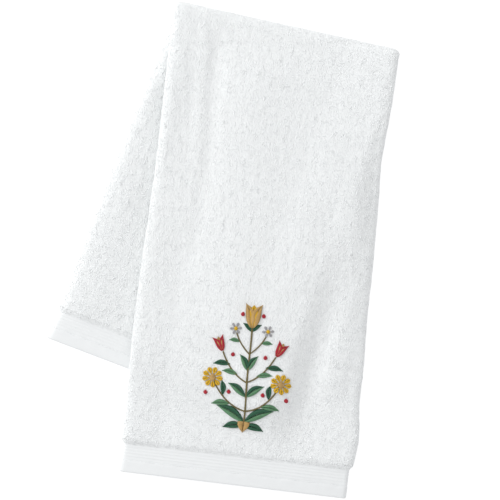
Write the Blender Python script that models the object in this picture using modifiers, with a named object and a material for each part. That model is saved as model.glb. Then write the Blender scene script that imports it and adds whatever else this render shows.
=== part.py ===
"""A folded terry hand towel lying on a flat surface, in metres, +Z up.

The cloth is one piece. It is cut flat and given its thickness, thin in the woven band at each end and thick in the
pile between them. Then it is folded twice. Its two long sides are turned under, so that they nearly meet behind the
middle panel. The strip that this makes is folded across on a slanting crease, back half under front half, so that
the back half fans out to one side. The front hem lies along X, and the origin is under the middle of the towel.
"""

import math

import bpy
import numpy as np

# The flat cloth
CLOTH_WIDTH = 0.387
CLOTH_LENGTH = 0.715
PILE_THICKNESS = 0.0030
HEM_THICKNESS = 0.0016
HEM_DEPTH = 0.024  # the flat woven band at each end
HEM_BLEND = 0.005  # the length over which the pile rises from the band

# The strip, once the two long sides are turned under
PANEL_HALF = 0.0910  # from the strip's middle to where a side begins to turn
SIDE_TURN = 0.0140  # the cloth's length round a turned side, in the pile
SIDE_REACH = 1.7  # how far a turned side reaches out, in halves of its height
SLIT_HALF = 0.0012  # half the space between the two turned-under edges
FRONT_AIR = 0.0021  # between the front's two layers, away from the sides
BACK_AIR = 0.0010  # between the back's two layers
SIDE_AIR = 0.0034  # between two layers in a turned side

# The crossing fold
CREASE_SLANT = math.radians(5.5)  # of the crease to the front hem
BACK_LEAN = math.radians(14.1)  # of the back half to the front half
FRONT_LENGTH = 0.383  # from the middle of the crease to the front hem
BACK_LENGTH = 0.3103  # from the middle of the crease to the back hem
CREASE_TURN = 0.0242  # the cloth's length round the crease
INNER_REACH = 0.0024  # how far the turned-under sides reach past the crease
OUTER_REACH = 0.0086  # how far the panel reaches past it

# How the front half lies over the back half
LIFT = 0.0105  # the front half's height where it is carried
SAG = 0.0018  # how far it sinks between the back half's two thick sides
SAG_FROM = 0.012  # how far inwards from a side it begins to sink
SAG_OVER = 0.030  # the width over which it sinks
SIDE_SHELF = 0.005  # how far past the back half's side the front is still carried
SIDE_DRAPE = 0.031  # from there to where it meets the surface
HEM_DRAPE = 0.026  # from the back hem to where the front meets the surface
HEM_CLIMB = 0.022  # from the back hem to the full height, inwards

TILT = math.tan(CREASE_SLANT)
BACK_TILT = math.sin(BACK_LEAN) - TILT * math.cos(BACK_LEAN)

# Each half's unevenness, a row for each place along it. The distances run from the crease, and the widths of the
# thick, soft sides are measured inwards from where they turn.
COLUMNS = ("distance", "left_out", "right_out", "left_roll", "right_roll")
FRONT_ROWS = (
    (0.000, 0.0000, -0.0015, 0.011, 0.014),
    (0.050, 0.0003, -0.0005, 0.012, 0.015),
    (0.085, 0.0000, -0.0045, 0.013, 0.016),
    (0.115, -0.0002, -0.0030, 0.014, 0.016),
    (0.170, 0.0006, -0.0016, 0.017, 0.018),
    (0.230, 0.0018, -0.0006, 0.020, 0.020),
    (0.260, 0.0020, 0.0010, 0.021, 0.021),
    (0.290, 0.0018, 0.0012, 0.022, 0.021),
    (0.330, 0.0008, 0.0042, 0.021, 0.019),
    (0.345, 0.0004, 0.0024, 0.019, 0.016),
    (0.365, 0.0008, 0.0020, 0.016, 0.014),
    (0.390, 0.0020, 0.0014, 0.014, 0.012),
)
BACK_ROWS = (
    (0.000, -0.0006, 0.0000, 0.011, 0.012),
    (0.035, -0.0034, 0.0000, 0.012, 0.013),
    (0.080, -0.0016, 0.0006, 0.013, 0.014),
    (0.120, -0.0010, 0.0010, 0.014, 0.014),
    (0.190, -0.0002, 0.0010, 0.019, 0.014),
    (0.240, -0.0010, 0.0000, 0.024, 0.014),
    (0.262, -0.0012, 0.0000, 0.024, 0.014),
    (0.280, 0.0012, 0.0000, 0.022, 0.012),
    (0.300, 0.0028, 0.0000, 0.020, 0.012),
)

# Soft troughs and ridges in the front panel: from one end to the other, sideways and along from the crease, with
# the half width and the height, which is negative in a trough
CREASES = (
    {"start": (-0.067, 0.020), "end": (-0.060, 0.115), "half_width": 0.0055, "height": 0.0009},
    {"start": (-0.055, 0.030), "end": (-0.052, 0.150), "half_width": 0.0080, "height": -0.0006},
    {"start": (0.062, 0.150), "end": (0.050, 0.330), "half_width": 0.0150, "height": -0.0012},
    {"start": (-0.066, 0.200), "end": (-0.064, 0.345), "half_width": 0.0110, "height": -0.0008},
)
CREASE_END = 0.030  # the length over which a trough or ridge runs out

# The faceted solid's cells, across the cloth and then along it
MIDDLE_CELLS = 8  # between the two soft sides
ROLL_CELLS = 4  # in each soft side
ROLL_SPAN = 0.026
SIDE_CELLS = 6  # round each turned side
FLAP_CELLS = 6  # in each turned-under side
HEM_CELLS = 2
BLEND_CELLS = 2
FRONT_CELLS = 28
CREASE_CELLS = 8
BACK_CELLS = 18
SLOPE_STEP = 0.00002  # the cloth's slopes are taken between places this far to each side

CLOTH_COLOUR = (0.86, 0.86, 0.87, 1.0)
CLOTH_ROUGHNESS = 0.95


def smooth(share):
    """0 to 1 as share goes from 0 to 1, level at both ends."""
    share = np.clip(share, 0.0, 1.0)
    return share * share * (3.0 - 2.0 * share)


def along_rows(rows, column, distance):
    """One column of a half's rows, read at these distances on a smooth curve through the rows."""
    at = np.array([row[0] for row in rows])
    value = np.array([row[COLUMNS.index(column)] for row in rows])
    slope = np.gradient(value, at)
    distance = np.clip(distance, at[0], at[-1])
    i = np.clip(np.searchsorted(at, distance, side="right") - 1, 0, len(at) - 2)
    step = at[i + 1] - at[i]
    t = (distance - at[i]) / step
    start = value[i] * (1 + 2 * t) * (1 - t) ** 2 + slope[i] * step * t * (1 - t) ** 2
    end = value[i + 1] * t**2 * (3 - 2 * t) + slope[i + 1] * step * t**2 * (t - 1)
    return start + end


def thickness_at(v):
    """The cloth's thickness at a distance v along it from the front hem."""
    from_hem = np.minimum(v, CLOTH_LENGTH - v)
    rise = smooth((from_hem - HEM_DEPTH) / HEM_BLEND)
    return HEM_THICKNESS + (PILE_THICKNESS - HEM_THICKNESS) * rise


def strip_section(u, thickness):
    """Where the cloth at u lies in the strip's section, once its sides are turned under.

    Gives the sideways place up to where the sides begin to turn, how far a turned side reaches out from there, the
    share of the way up from the turned-under layer (0) to the panel (1), and how far the place is inwards.
    """
    across = np.abs(u)
    turn = math.pi * np.clip((across - PANEL_HALF) / SIDE_TURN, 0.0, 1.0)
    half_height = (thickness + SIDE_AIR * thickness / PILE_THICKNESS) / 2
    flap = np.clip(across - PANEL_HALF - SIDE_TURN, 0.0, None)
    flap_share = flap / (CLOTH_WIDTH / 2 - PANEL_HALF - SIDE_TURN)
    place = np.minimum(across, PANEL_HALF) - flap_share * (PANEL_HALF - SLIT_HALF)
    reach = SIDE_REACH * half_height * np.sin(turn)
    return np.sign(u) * place, np.sign(u) * reach, (1 + np.cos(turn)) / 2, PANEL_HALF - place


def layer_space(u, inwards, air, rows, distance, thickness):
    """The height between a half's two layers, wide in its soft sides and closer between them."""
    left = along_rows(rows, "left_roll", distance)
    right = along_rows(rows, "right_roll", distance)
    roll = np.exp(-((inwards / np.where(u < 0, left, right)) ** 2))
    return thickness + air + (SIDE_AIR * thickness / PILE_THICKNESS - air) * roll


def push_out(place, rows, distance):
    """The sideways place, with the strip's sides pushed out or drawn in as the rows say."""
    share = np.clip((place / PANEL_HALF + 1) / 2, 0.0, 1.0)
    left = along_rows(rows, "left_out", distance)
    right = along_rows(rows, "right_out", distance)
    return place - (1 - share) * left + share * right


def crease_relief(place, distance):
    """The front panel's rise or fall in its soft ridges and troughs."""
    rise = np.zeros_like(place)
    for crease in CREASES:
        (x0, s0), (x1, s1) = crease["start"], crease["end"]
        length = math.hypot(x1 - x0, s1 - s0)
        along = ((place - x0) * (x1 - x0) + (distance - s0) * (s1 - s0)) / length
        off = ((place - x0) * (s1 - s0) - (distance - s0) * (x1 - x0)) / length
        ends = smooth((along + CREASE_END) / CREASE_END) * smooth((length + CREASE_END - along) / CREASE_END)
        rise += crease["height"] * ends * np.exp(-((off / crease["half_width"]) ** 2))
    return rise


def carried_height(x, y):
    """How high the back half carries the front half over a place in plan, measured from the crease's middle."""
    back_distance = -(x * TILT + y) / (math.sin(BACK_LEAN) * TILT + math.cos(BACK_LEAN))
    back_place = x + back_distance * math.sin(BACK_LEAN)
    side = PANEL_HALF - back_place
    hem = BACK_LENGTH + back_place * BACK_TILT - back_distance
    carried = smooth((side + SIDE_SHELF) / SIDE_DRAPE + 1) * smooth((hem + HEM_DRAPE) / (HEM_DRAPE + HEM_CLIMB))
    middle = smooth((PANEL_HALF + back_place - SAG_FROM) / SAG_OVER) * smooth((side - SAG_FROM) / SAG_OVER)
    return carried * (LIFT - SAG * middle)


def fold(u, v):
    """The places in space of the cloth's middle surface at u across it and v along it from the front hem."""
    thickness = thickness_at(v)
    inner_place, side_reach, panel, inwards = strip_section(u, thickness)
    place = inner_place + side_reach
    front_run = FRONT_LENGTH - place * TILT
    back_run = BACK_LENGTH + place * BACK_TILT
    run = v / CLOTH_LENGTH * (front_run + CREASE_TURN + back_run)
    turn = math.pi * np.clip((run - front_run) / CREASE_TURN, 0.0, 1.0)
    front = np.clip(front_run - run, 0.0, None)
    back = np.clip(run - front_run - CREASE_TURN, 0.0, None)

    # In plan: back from the crease along each half, and round the crease
    front_x = push_out(place, FRONT_ROWS, front)
    back_x = push_out(place, BACK_ROWS, back)
    share = turn / math.pi
    x = front_x * (1 - share) + back_x * share - back * math.sin(BACK_LEAN)
    y = -place * TILT - front - back * math.cos(BACK_LEAN)
    reach = INNER_REACH + panel * (OUTER_REACH - INNER_REACH)
    past = reach * np.sin(turn)
    lean = math.tan(BACK_LEAN - CREASE_SLANT)
    slide = -reach * (TILT * (turn + np.sin(turn)) + lean * (turn - np.sin(turn))) / 2
    x += past * math.sin(CREASE_SLANT) + slide * math.cos(CREASE_SLANT)
    y += past * math.cos(CREASE_SLANT) - slide * math.sin(CREASE_SLANT)

    # In height: the front lies on the back half or on the surface, and the back on the surface
    front_space = layer_space(u, inwards, FRONT_AIR, FRONT_ROWS, front, thickness)
    back_space = layer_space(u, inwards, BACK_AIR, BACK_ROWS, back, thickness)
    relief = crease_relief(place, front) * panel * thickness / PILE_THICKNESS
    carried = carried_height(x - side_reach, y + side_reach * TILT)
    front_z = carried + thickness / 2 + panel * front_space + relief
    back_z = thickness / 2 + (1 - panel) * back_space
    over = (1 + np.cos(turn)) / 2
    z = back_z + over * (front_z - back_z)
    return np.stack([x, y, z], axis=-1)


def fold_with_thickness(u, v, side):
    """The places of the cloth's faces: side is -1 on the back of the cloth, 0 in its middle and 1 on its face."""
    across = fold(u + SLOPE_STEP, v) - fold(u - SLOPE_STEP, v)
    along = fold(u, v + SLOPE_STEP) - fold(u, v - SLOPE_STEP)
    normal = np.cross(across, along)
    normal /= np.linalg.norm(normal, axis=-1, keepdims=True)
    return fold(u, v) + normal * (side * thickness_at(v) / 2)[:, None]


def places_between(ends, cells):
    """Places from the first end to the last, with so many even cells between each end and the next."""
    spans = [np.linspace(a, b, count + 1)[:-1] for a, b, count in zip(ends, ends[1:], cells)]
    return np.append(np.concatenate(spans), ends[-1])


def column_places():
    """The cloth's columns: close together where its sides turn and roll, wide apart elsewhere."""
    middle = PANEL_HALF - ROLL_SPAN
    turned = PANEL_HALF + SIDE_TURN
    ends = (0.0, middle, PANEL_HALF, turned, CLOTH_WIDTH / 2)
    half = places_between(ends, (MIDDLE_CELLS // 2, ROLL_CELLS, SIDE_CELLS, FLAP_CELLS))
    return np.concatenate([-half[:0:-1], half])


def row_places():
    """The cloth's rows: close together at the hems and round the crease."""
    pile = HEM_DEPTH + HEM_BLEND
    crease = CLOTH_LENGTH * (FRONT_LENGTH + CREASE_TURN / 2) / (FRONT_LENGTH + CREASE_TURN + BACK_LENGTH)
    front_end, back_start = crease - CREASE_TURN / 2, crease + CREASE_TURN / 2
    back_end, hem_start = CLOTH_LENGTH - pile, CLOTH_LENGTH - HEM_DEPTH
    ends = (0.0, HEM_DEPTH, pile, front_end, back_start, back_end, hem_start, CLOTH_LENGTH)
    cells = (HEM_CELLS, BLEND_CELLS, FRONT_CELLS, CREASE_CELLS, BACK_CELLS, BLEND_CELLS, HEM_CELLS)
    return places_between(ends, cells)


def terry_material():
    """White cotton terry."""
    material = bpy.data.materials.new("cotton_terry")
    material.use_nodes = True
    shader = material.node_tree.nodes["Principled BSDF"]
    shader.inputs["Base Color"].default_value = CLOTH_COLOUR
    shader.inputs["Roughness"].default_value = CLOTH_ROUGHNESS
    shader.inputs["Metallic"].default_value = 0.0
    return material


def cut_cloth(columns, rows):
    """The cloth lying flat: a grid of these columns and rows, of even thickness, with u and v as X and Y."""
    bpy.ops.mesh.primitive_grid_add(x_subdivisions=len(columns) - 1, y_subdivisions=len(rows) - 1, size=2.0)
    cloth = bpy.context.object
    for vertex in cloth.data.vertices:
        column = round((vertex.co.x + 1) / 2 * (len(columns) - 1))
        row = round((vertex.co.y + 1) / 2 * (len(rows) - 1))
        vertex.co = (columns[column], rows[row], 0.0)
    wall = cloth.modifiers.new("thickness", "SOLIDIFY")
    wall.thickness = PILE_THICKNESS
    wall.offset = 0.0
    bpy.ops.object.modifier_apply(modifier=wall.name)
    return cloth


def fold_cloth(cloth):
    """Folds the flat cloth, and moves it so that the origin lies under the middle of the folded towel."""
    flat = np.array([vertex.co for vertex in cloth.data.vertices], float)
    folded = fold_with_thickness(flat[:, 0], flat[:, 1], np.sign(flat[:, 2]))
    low, high = folded.min(axis=0), folded.max(axis=0)
    folded -= [(low[0] + high[0]) / 2, (low[1] + high[1]) / 2, 0.0]
    cloth.data.vertices.foreach_set("co", folded.ravel())
    cloth.data.update()


def build_towel():
    """The towel, as one piece of cloth."""
    for old in list(bpy.data.objects):
        bpy.data.objects.remove(old)
    cloth = cut_cloth(column_places(), row_places())
    cloth.name = "towel"
    cloth.data.name = "towel"
    fold_cloth(cloth)
    cloth.data.shade_smooth()
    cloth.data.materials.append(terry_material())
    collection = bpy.data.collections.new("folded_hand_towel")
    bpy.context.scene.collection.children.link(collection)
    for holder in list(cloth.users_collection):
        holder.objects.unlink(cloth)
    collection.objects.link(cloth)
    return cloth


build_towel()
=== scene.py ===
"""Dresses a folded white terry hand towel: cloth, looped pile, woven borders, hem stitching and embroidery.

The cloth is cut flat and folded by the same sizes as its solid, only finer. Everything that stands or lies
on it is laid out on the flat cloth, in metres across it (u) and along it from the front hem (v), and is
carried through the same fold. Lengths are in metres, with +Z up.
"""

import logging
import math
from dataclasses import dataclass, field, replace
from enum import Enum
from typing import ClassVar, Sequence

import bpy
import numpy as np
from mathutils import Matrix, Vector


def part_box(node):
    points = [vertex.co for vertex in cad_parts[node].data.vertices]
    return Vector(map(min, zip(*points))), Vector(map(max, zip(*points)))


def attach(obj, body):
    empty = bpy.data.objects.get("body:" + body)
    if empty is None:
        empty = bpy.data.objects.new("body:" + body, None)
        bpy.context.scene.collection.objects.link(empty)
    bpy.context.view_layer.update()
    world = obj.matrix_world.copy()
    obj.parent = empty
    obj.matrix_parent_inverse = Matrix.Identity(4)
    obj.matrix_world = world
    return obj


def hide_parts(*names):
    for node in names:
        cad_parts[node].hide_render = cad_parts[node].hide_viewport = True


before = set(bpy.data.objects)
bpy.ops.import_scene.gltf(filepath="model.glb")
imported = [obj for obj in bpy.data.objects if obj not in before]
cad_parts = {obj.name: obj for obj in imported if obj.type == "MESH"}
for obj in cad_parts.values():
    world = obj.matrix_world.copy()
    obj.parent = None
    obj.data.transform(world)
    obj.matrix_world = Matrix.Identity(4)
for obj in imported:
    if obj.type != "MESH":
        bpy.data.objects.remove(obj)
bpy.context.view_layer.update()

Array = np.ndarray
Point = tuple[float, float]
log = logging.getLogger("towel")

MM = 0.001
BODY = "root"
COLLECTION = "hand_towel_looks"
PILE_LIE = math.radians(66)  # from straight across the cloth
PILE_DRAWN_OUT = 1.8  # how much longer the pile's tufts are along its lie than over it
UNSEEN_BELOW = -0.6  # what faces down more than this, as a share, lies on the surface beneath


# ----------------------------------------------------------------------------------------------------
# Small tools
# ----------------------------------------------------------------------------------------------------


def linear(colour: str) -> tuple[float, float, float, float]:
    """Turns an sRGB colour to linear light.

    Args:
        colour: The colour as "#RRGGBB".

    Returns:
        Red, green, blue and an alpha of 1.
    """
    shares = [int(colour[i : i + 2], 16) / 255 for i in (1, 3, 5)]
    red, green, blue = (s / 12.92 if s <= 0.04045 else ((s + 0.055) / 1.055) ** 2.4 for s in shares)
    return red, green, blue, 1.0


def smooth(share: Array) -> Array:
    """0 to 1 as the share goes from 0 to 1, level at both ends."""
    share = np.clip(share, 0.0, 1.0)
    return share * share * (3.0 - 2.0 * share)


def unit(vectors: Array) -> Array:
    """The vectors, each brought to a length of 1."""
    return vectors / np.linalg.norm(vectors, axis=-1, keepdims=True)


def places_between(ends: Sequence[float], pitches: Sequence[float]) -> Array:
    """Spreads places evenly between each end and the next.

    Args:
        ends: The ends of the stretches, in order.
        pitches: The widest space between two places in each stretch.

    Returns:
        The places, from the first end to the last, with every end among them.
    """
    stretches = []
    for start, end, pitch in zip(ends, ends[1:], pitches):
        cells = max(1, math.ceil((end - start) / pitch - 1e-9))
        stretches.append(np.linspace(start, end, cells + 1)[:-1])
    return np.append(np.concatenate(stretches), ends[-1])


def add_node(
    tree: bpy.types.NodeTree, kind: str, settings: dict | None = None, links: dict | None = None
) -> bpy.types.Node:
    """Adds a node with its settings and links.

    Args:
        tree: The node tree that takes it.
        kind: The node's type.
        settings: Values by name: a property of the node, or else one of its inputs by name or number.
        links: The outputs that its inputs read, by the input's name or number.

    Returns:
        The node.
    """
    node = tree.nodes.new(kind)
    for name, value in (settings or {}).items():
        if isinstance(name, str) and hasattr(node, name):
            setattr(node, name, value)
        else:
            node.inputs[name].default_value = value
    for name, output in (links or {}).items():
        tree.links.new(output, node.inputs[name])
    return node


def nothing_selected() -> None:
    """Leaves no object selected, so that an operator acts on the next new piece alone."""
    if bpy.context.object and bpy.context.object.mode != "OBJECT":
        bpy.ops.object.mode_set(mode="OBJECT")
    bpy.ops.object.select_all(action="DESELECT")


def keep_together(piece: bpy.types.Object) -> None:
    """Puts a piece in the collection of the towel's looks, and in no other.

    Args:
        piece: The finished piece.
    """
    collection = bpy.data.collections.get(COLLECTION)
    if collection is None:
        collection = bpy.data.collections.new(COLLECTION)
        bpy.context.scene.collection.children.link(collection)
    for holder in list(piece.users_collection):
        holder.objects.unlink(piece)
    collection.objects.link(piece)


def report(piece: bpy.types.Object) -> None:
    """Logs a finished piece's name and size."""
    triangles = sum(len(face.vertices) - 2 for face in piece.data.polygons)
    log.info("%s: %d triangles", piece.name, triangles)


def values_of(
    elements: bpy.types.bpy_prop_collection, name: str, width: int = 1, kind: type = float
) -> Array:
    """Reads one property of a mesh's elements.

    Args:
        elements: The mesh's vertices, corners or faces.
        name: The property's name.
        width: How many numbers it has for each of them.
        kind: The numbers' type.

    Returns:
        A number, or a row of numbers, for each element.
    """
    values = np.empty(len(elements) * width, kind)
    elements.foreach_get(name, values)
    return values.reshape(-1, width) if width > 1 else values


def mark(mesh: bpy.types.Mesh, tones: Array, flat: Array) -> None:
    """Gives a mesh what its material reads.

    Args:
        mesh: The piece's mesh.
        tones: Each of its points' tone, from 0 to 1.
        flat: Each point's place in the material's pattern, in metres.
    """
    corners = values_of(mesh.loops, "vertex_index", kind=int)
    mesh.attributes.new("tone", "FLOAT", "POINT").data.foreach_set("value", tones)
    mesh.uv_layers.new(name="flat").data.foreach_set("uv", flat[corners].ravel())


@dataclass(frozen=True)
class Clouds:
    """Soft random unevenness over the flat cloth, with a mean of 0 and a spread of about 1.

    It can be drawn out along the lie of the pile, which slants up to the right.
    """

    size: float
    seed: int
    drawn_out: float = 1.0
    waves: int = 26
    wave_spread: Point = (0.7, 1.7)  # its shortest and longest waves, in sizes

    def at(self, u: Array, v: Array) -> Array:
        """Reads the unevenness.

        Args:
            u: Places across the cloth.
            v: Places along it.

        Returns:
            One value for each place.
        """
        rng = np.random.default_rng(self.seed)
        with_lie = (u * math.cos(PILE_LIE) + v * math.sin(PILE_LIE)) / self.drawn_out
        over_lie = v * math.cos(PILE_LIE) - u * math.sin(PILE_LIE)
        heading = rng.uniform(0, 2 * math.pi, self.waves)
        per_metre = 2 * math.pi / (self.size * rng.uniform(*self.wave_spread, self.waves))
        start = rng.uniform(0, 2 * math.pi, self.waves)
        total = np.zeros(np.broadcast(u, v).shape)
        for angle, rate, phase in zip(heading, per_metre, start):
            total += np.cos(rate * (with_lie * math.cos(angle) + over_lie * math.sin(angle)) + phase)
        return total * math.sqrt(2 / self.waves)


# ----------------------------------------------------------------------------------------------------
# The fold, as in the solid
# ----------------------------------------------------------------------------------------------------


@dataclass(frozen=True)
class Half:
    """One half of the folded strip, and its unevenness at distances from the crease.

    A row gives a distance, how far the left and the right side are pushed out there, and how wide the
    thick, soft stretch along each side is.
    """

    length: float
    lean: float
    air: float
    rows: tuple[tuple[float, ...], ...]
    columns: ClassVar[tuple[str, ...]] = ("distance", "left_out", "right_out", "left_roll", "right_roll")

    def read(self, column: str, distance: Array) -> Array:
        """Reads one column on a smooth curve through the rows.

        Args:
            column: The column's name.
            distance: Distances from the crease.

        Returns:
            The column's value at each distance.
        """
        at = np.array([row[0] for row in self.rows])
        value = np.array([row[self.columns.index(column)] for row in self.rows])
        slope = np.gradient(value, at)
        distance = np.clip(distance, at[0], at[-1])
        i = np.clip(np.searchsorted(at, distance, side="right") - 1, 0, len(at) - 2)
        step = at[i + 1] - at[i]
        t = (distance - at[i]) / step
        start = value[i] * (1 + 2 * t) * (1 - t) ** 2 + slope[i] * step * t * (1 - t) ** 2
        end = value[i + 1] * t**2 * (3 - 2 * t) + slope[i + 1] * step * t**2 * (t - 1)
        return start + end


@dataclass(frozen=True)
class Crease:
    """A soft ridge or trough in the front panel, placed sideways and along from the crossing fold."""

    start: Point
    end: Point
    half_width: float
    height: float
    run_out: float = 0.030

    def rise(self, place: Array, distance: Array) -> Array:
        """How high it stands.

        Args:
            place: Sideways places.
            distance: Distances from the crossing fold.

        Returns:
            The height at each place, which is negative in a trough.
        """
        (x0, s0), (x1, s1) = self.start, self.end
        length = math.hypot(x1 - x0, s1 - s0)
        along = ((place - x0) * (x1 - x0) + (distance - s0) * (s1 - s0)) / length
        off = ((place - x0) * (s1 - s0) - (distance - s0) * (x1 - x0)) / length
        ends = smooth((along + self.run_out) / self.run_out)
        ends = ends * smooth((length + self.run_out - along) / self.run_out)
        return self.height * ends * np.exp(-((off / self.half_width) ** 2))


FRONT = Half(
    length=0.383,
    lean=0.0,
    air=0.0021,
    rows=(
        (0.000, 0.0000, -0.0015, 0.011, 0.014),
        (0.050, 0.0003, -0.0030, 0.012, 0.015),
        (0.085, 0.0000, -0.0052, 0.013, 0.016),
        (0.115, -0.0002, -0.0036, 0.014, 0.016),
        (0.170, 0.0006, -0.0016, 0.017, 0.018),
        (0.230, 0.0018, -0.0006, 0.020, 0.020),
        (0.260, 0.0020, 0.0010, 0.021, 0.021),
        (0.290, 0.0018, 0.0012, 0.022, 0.021),
        (0.330, 0.0008, 0.0042, 0.021, 0.019),
        (0.345, 0.0004, 0.0024, 0.019, 0.016),
        (0.365, 0.0008, 0.0020, 0.016, 0.014),
        (0.390, 0.0020, 0.0014, 0.014, 0.012),
    ),
)
BACK = Half(
    length=0.3103,
    lean=math.radians(14.1),
    air=0.0010,
    rows=(
        (0.000, -0.0006, 0.0000, 0.011, 0.012),
        (0.035, -0.0034, 0.0000, 0.012, 0.013),
        (0.080, -0.0016, 0.0006, 0.013, 0.014),
        (0.120, -0.0010, 0.0010, 0.018, 0.014),
        (0.190, -0.0002, 0.0010, 0.026, 0.014),
        (0.240, -0.0010, 0.0000, 0.032, 0.014),
        (0.262, -0.0012, 0.0000, 0.033, 0.014),
        (0.280, 0.0012, 0.0000, 0.030, 0.012),
        (0.300, 0.0028, 0.0000, 0.026, 0.012),
    ),
)
CREASES = (
    Crease(start=(-0.067, 0.020), end=(-0.060, 0.115), half_width=0.0055, height=0.0009),
    Crease(start=(-0.055, 0.030), end=(-0.052, 0.150), half_width=0.0080, height=-0.0006),
    Crease(start=(0.062, 0.150), end=(0.050, 0.330), half_width=0.0150, height=-0.0012),
    Crease(start=(-0.066, 0.200), end=(-0.064, 0.345), half_width=0.0110, height=-0.0008),
)
# Slight swells of the soft cloth, finer than the solid's folds, on the front panel and on the back half.
FRONT_SWELLS = (
    Crease(start=(0.084, 0.150), end=(0.071, 0.270), half_width=0.0145, height=0.0044, run_out=0.045),
    Crease(start=(-0.056, 0.040), end=(-0.054, 0.190), half_width=0.0085, height=-0.0008),
    Crease(start=(-0.022, 0.040), end=(-0.018, 0.250), half_width=0.0300, height=0.0021),
)
BACK_SWELLS = (
    Crease(start=(-0.080, 0.140), end=(-0.076, 0.255), half_width=0.0180, height=0.0013, run_out=0.045),
    Crease(start=(-0.056, 0.170), end=(-0.040, 0.260), half_width=0.0110, height=-0.0005),
)


@dataclass(frozen=True)
class Fold:
    """Carries the flat cloth into its fold: both long sides turned under, then the strip folded across."""

    # The flat cloth
    width: float = 0.387
    length: float = 0.715
    pile_thickness: float = 0.0030
    hem_thickness: float = 0.0016
    hem_depth: float = 0.024
    hem_blend: float = 0.005
    # The strip
    panel_half: float = 0.0910
    side_turn: float = 0.0140
    side_reach: float = 1.7
    slit_half: float = 0.0012
    side_air: float = 0.0034
    # The crossing fold
    slant: float = math.radians(5.5)
    turn_length: float = 0.0242
    inner_reach: float = 0.0024
    outer_reach: float = 0.0086
    # How the front half lies over the back half
    lift: float = 0.0105
    sag: float = 0.0018
    sag_from: float = 0.012
    sag_over: float = 0.030
    side_shelf: float = 0.005
    side_drape: float = 0.033
    hem_drape: float = 0.026
    hem_climb: float = 0.022

    origin: Point = (0.0, 0.0)
    slope_step: float = 0.00002
    sampled: tuple[int, int] = (240, 360)  # places across and along that its outline is read from

    @classmethod
    def inside(cls, low: Sequence[float], high: Sequence[float]) -> "Fold":
        """Makes the fold and centres its cloth on a box.

        Args:
            low: The box's lowest corner.
            high: The box's highest corner.

        Returns:
            The fold, with its origin under the middle of the box.
        """
        loose = cls()
        across = np.linspace(-loose.width / 2, loose.width / 2, loose.sampled[0])
        u, v = np.meshgrid(across, np.linspace(0, loose.length, loose.sampled[1]))
        u, v = u.ravel(), v.ravel()
        half = loose.thickness(v) / 2
        faces = np.concatenate([loose.place(u, v, half), loose.place(u, v, -half)])
        own = (faces.min(axis=0) + faces.max(axis=0)) / 2
        return replace(loose, origin=(own[0] - (low[0] + high[0]) / 2, own[1] - (low[1] + high[1]) / 2))

    def from_hem(self, v: Array) -> Array:
        """The distance along the cloth from its nearer end."""
        return np.minimum(v, self.length - v)

    def pile_share(self, v: Array) -> Array:
        """0 in the woven borders and 1 in the pile."""
        return smooth((self.from_hem(v) - self.hem_depth) / self.hem_blend)

    def thickness(self, v: Array) -> Array:
        """The cloth's thickness, thin in the woven borders."""
        return self.hem_thickness + (self.pile_thickness - self.hem_thickness) * self.pile_share(v)

    def columns(self, panel: float, turn: float, flap: float) -> Array:
        """Spreads columns over the cloth, from its middle out.

        Args:
            panel: The widest space between two of them in the panel.
            turn: The widest space in the side turns.
            flap: The widest space in the flaps turned under.

        Returns:
            Their places across the cloth.
        """
        turned = self.panel_half + self.side_turn
        half = places_between((0.0, self.panel_half, turned, self.width / 2), (panel, turn, flap))
        return np.concatenate([-half[:0:-1], half])

    def crease_rows(self) -> tuple[float, float]:
        """Where the crossing fold starts and ends along the middle of the cloth."""
        run = FRONT.length + self.turn_length + BACK.length
        return self.length * FRONT.length / run, self.length * (FRONT.length + self.turn_length) / run

    def section(self, u: Array, thickness: Array) -> tuple[Array, Array, Array, Array]:
        """Where the cloth lies in the strip's section.

        Args:
            u: Places across the flat cloth.
            thickness: The cloth's thickness at each.

        Returns:
            The sideways place up to where the sides begin to turn, how far a turned side reaches out from
            there, the share of the way up from the turned-under layer (0) to the panel (1), and how far the
            place is inwards.
        """
        across = np.abs(u)
        turn = math.pi * np.clip((across - self.panel_half) / self.side_turn, 0.0, 1.0)
        half_height = (thickness + self.side_air * thickness / self.pile_thickness) / 2
        flap = np.clip(across - self.panel_half - self.side_turn, 0.0, None)
        flap_share = flap / (self.width / 2 - self.panel_half - self.side_turn)
        place = np.minimum(across, self.panel_half) - flap_share * (self.panel_half - self.slit_half)
        reach = self.side_reach * half_height * np.sin(turn)
        return np.sign(u) * place, np.sign(u) * reach, (1 + np.cos(turn)) / 2, self.panel_half - place

    def layer_space(self, u: Array, inwards: Array, half: Half, distance: Array, thickness: Array) -> Array:
        """The height between a half's two layers, wide in its soft sides and closer between them.

        Args:
            u: Places across the flat cloth.
            inwards: How far each is from where its side begins to turn.
            half: The front half or the back half.
            distance: Distances from the crossing fold.
            thickness: The cloth's thickness at each place.

        Returns:
            The height from the middle of one layer to the middle of the other.
        """
        width = np.where(u < 0, half.read("left_roll", distance), half.read("right_roll", distance))
        side_air = self.side_air * thickness / self.pile_thickness
        return thickness + half.air + (side_air - half.air) * np.exp(-((inwards / width) ** 2))

    def push_out(self, place: Array, half: Half, distance: Array) -> Array:
        """Pushes the strip's sides out, or draws them in.

        Args:
            place: Sideways places in the strip.
            half: The front half or the back half.
            distance: Distances from the crossing fold.

        Returns:
            The places after it.
        """
        share = np.clip((place / self.panel_half + 1) / 2, 0.0, 1.0)
        from_left = place - (1 - share) * half.read("left_out", distance)
        return from_left + share * half.read("right_out", distance)

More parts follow.
